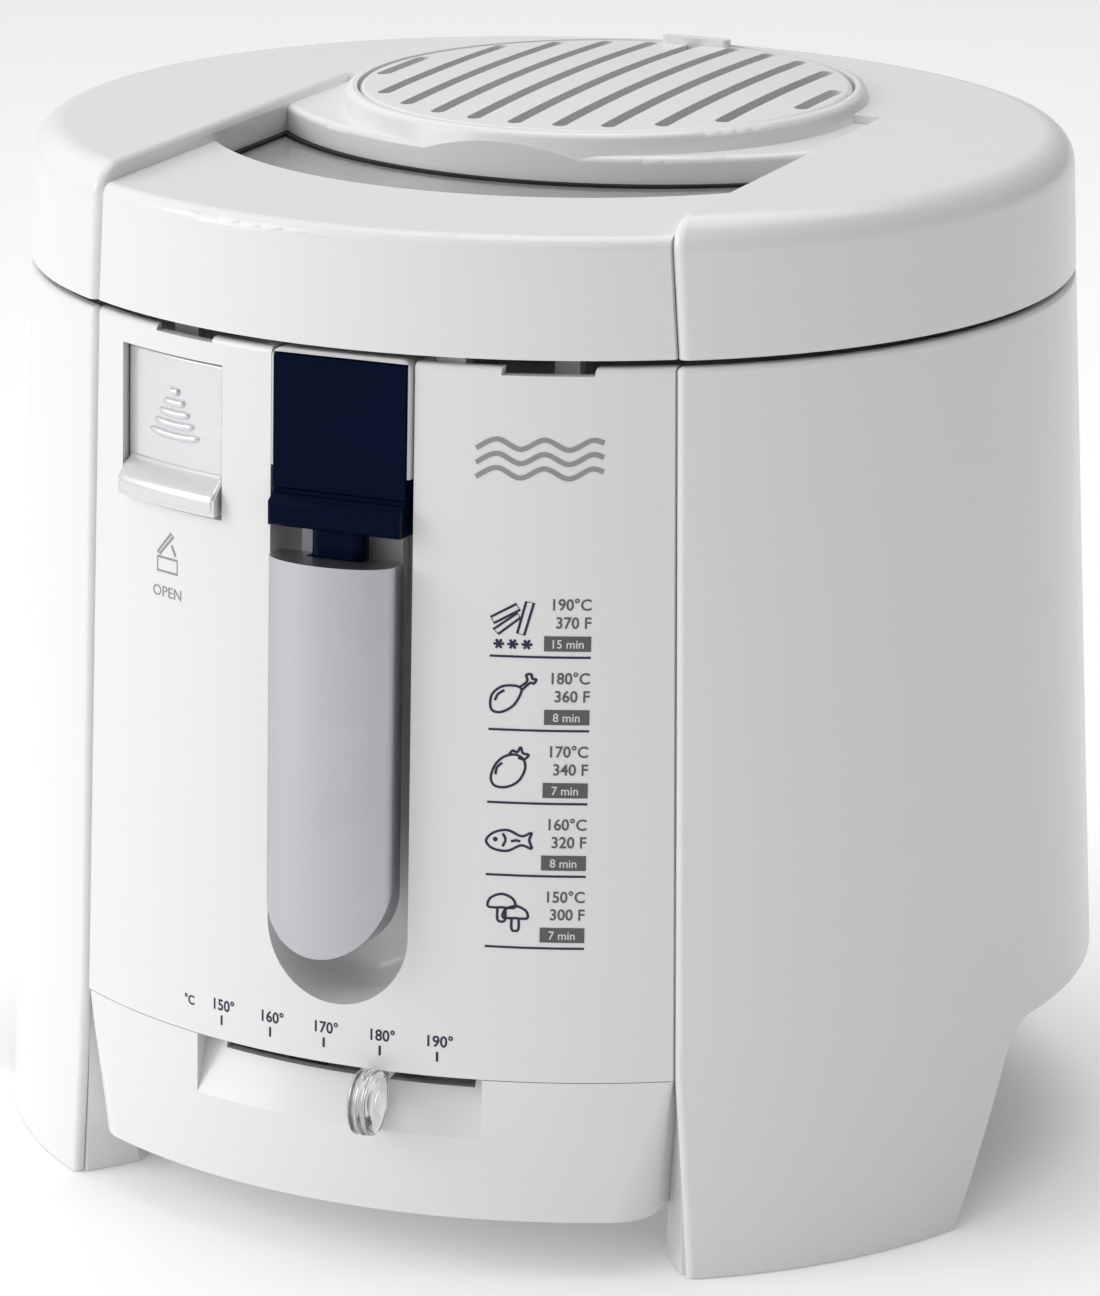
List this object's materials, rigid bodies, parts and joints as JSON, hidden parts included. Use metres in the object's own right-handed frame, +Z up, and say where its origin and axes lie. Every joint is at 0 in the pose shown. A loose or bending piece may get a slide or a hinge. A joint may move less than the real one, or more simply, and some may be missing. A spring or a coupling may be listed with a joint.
{
  "type": "deep fryer",
  "caption": "Oval white electric deep fryer with a windowed hinged lid, slotted filter disc, folding basket handle, push button and sliding thermostat.",
  "frame": {"origin": "bottom centre of the whole fryer, on the surface it stands on", "axes": "+Z up, the front with the handle faces -Y, +X to the right as seen from the front"},
  "size_m": [0.2656, 0.2642, 0.2477],
  "materials": {
    "white_gloss": "smooth gloss moulding",
    "white_satin": "smooth moulding",
    "grey_plastic": "fine satin",
    "silver_paint": "satin silver paint",
    "navy_gloss": "deep gloss",
    "clear_plastic": "clear moulded plastic",
    "window": "smoked clear pane",
    "black_rubber": "matt rubber",
    "silicone": "matt silicone",
    "steel": "bright steel",
    "spring_steel": "spring wire",
    "coated_alu": "dark non-stick coating",
    "tinplate": "pressed sheet",
    "black_plastic": "heat-proof moulding",
    "brass": "machined",
    "charcoal_fleece": "carbon fleece",
    "lead_red": "insulated lead"
  },
  "bodies": {
    "housing": {"outer_shell": "white_gloss", "front_panel": "white_gloss", "base_housing": "white_satin", "bottom_plate": "grey_plastic", "rubber_feet": "black_rubber", "plate_screws": "steel", "top_rim": "white_satin", "bowl": "coated_alu", "heating_element": "steel", "heat_shield": "tinplate", "shield_screws": "steel", "thermostat": "black_plastic", "thermal_cutout": "black_plastic", "terminal_block": "black_plastic", "terminal_screws": "brass", "cord_inlet": "black_rubber", "inner_leads": "lead_red", "hinge_bracket": "grey_plastic", "hinge_pin": "steel", "lid_spring": "spring_steel", "spring_seat": "white_satin", "latch_spring": "spring_steel", "handle_pin": "steel", "lift_guides": "white_satin"},
    "lid": {"hinge_knuckles": "white_satin", "lid_shell": "white_gloss", "window_gasket": "black_rubber", "window_glass": "window", "inner_lid": "tinplate", "lid_gasket": "silicone", "lid_hooks": "white_satin", "lid_spacers": "white_satin", "lid_screws": "steel", "filter_housing": "white_satin", "filter_pad": "charcoal_fleece"},
    "filter_cover": {"filter_cover": "white_gloss"},
    "open_button": {"open_button": "silver_paint", "button_spring": "spring_steel"},
    "latch": {"latch_slider": "grey_plastic"},
    "handle": {"handle_grip": "silver_paint", "handle_grip_back": "grey_plastic", "grip_screws": "steel", "handle_frame": "grey_plastic"},
    "handle_release": {"handle_release": "navy_gloss", "release_spring": "spring_steel"},
    "basket_lift": {"lift_block": "steel", "basket_bracket": "steel", "basket": "steel"},
    "thermostat_slider": {"slider_arm": "steel", "slider_knob": "clear_plastic"}
  },
  "joints": [
    {"name": "lid_hinge", "type": "hinge", "parent": "housing", "child": "lid", "pos_m": [0, 0.11764, 0.2145], "axis": [-1, 0, 0], "range_deg": [0, 80]},
    {"name": "filter_cover_lift", "type": "slide", "parent": "lid", "child": "filter_cover", "axis": [0, 0, 1], "range_m": [0, 0.03]},
    {"name": "open_button", "type": "slide", "parent": "housing", "child": "open_button", "axis": [0, 0, 1], "range_m": [0, 0.004], "stiffness_N_per_m": 300, "springref_m": -0.002, "deforming": ["button_spring"]},
    {"name": "latch_slide", "type": "slide", "parent": "housing", "child": "latch", "axis": [-1, 0, 0], "range_m": [0, 0.0033]},
    {"name": "handle_fold", "type": "hinge", "parent": "housing", "child": "handle", "pos_m": [0, -0.10636, 0.203], "axis": [-1, 0, 0], "range_deg": [0, 90]},
    {"name": "handle_release", "type": "slide", "parent": "handle", "child": "handle_release", "axis": [0, -0.0466, -0.9989], "range_m": [0, 0.004], "stiffness_N_per_m": 300, "springref_m": -0.003, "deforming": ["release_spring"]},
    {"name": "basket_lift", "type": "slide", "parent": "housing", "child": "basket_lift", "axis": [0, 0, 1], "range_m": [0, 0.0431]},
    {"name": "thermostat_slide", "type": "hinge", "parent": "housing", "child": "thermostat_slider", "pos_m": [0, 0.02344, 0.045], "axis": [0, 0, 1], "range_deg": [-16.2, 5.4]}
  ],
  "couplings": [
    {"joint": "latch_slide", "follows": "open_button", "ratio": 0.8},
    {"joint": "basket_lift", "follows": "handle_fold", "m_per_rad": 0.027375}
  ]
}
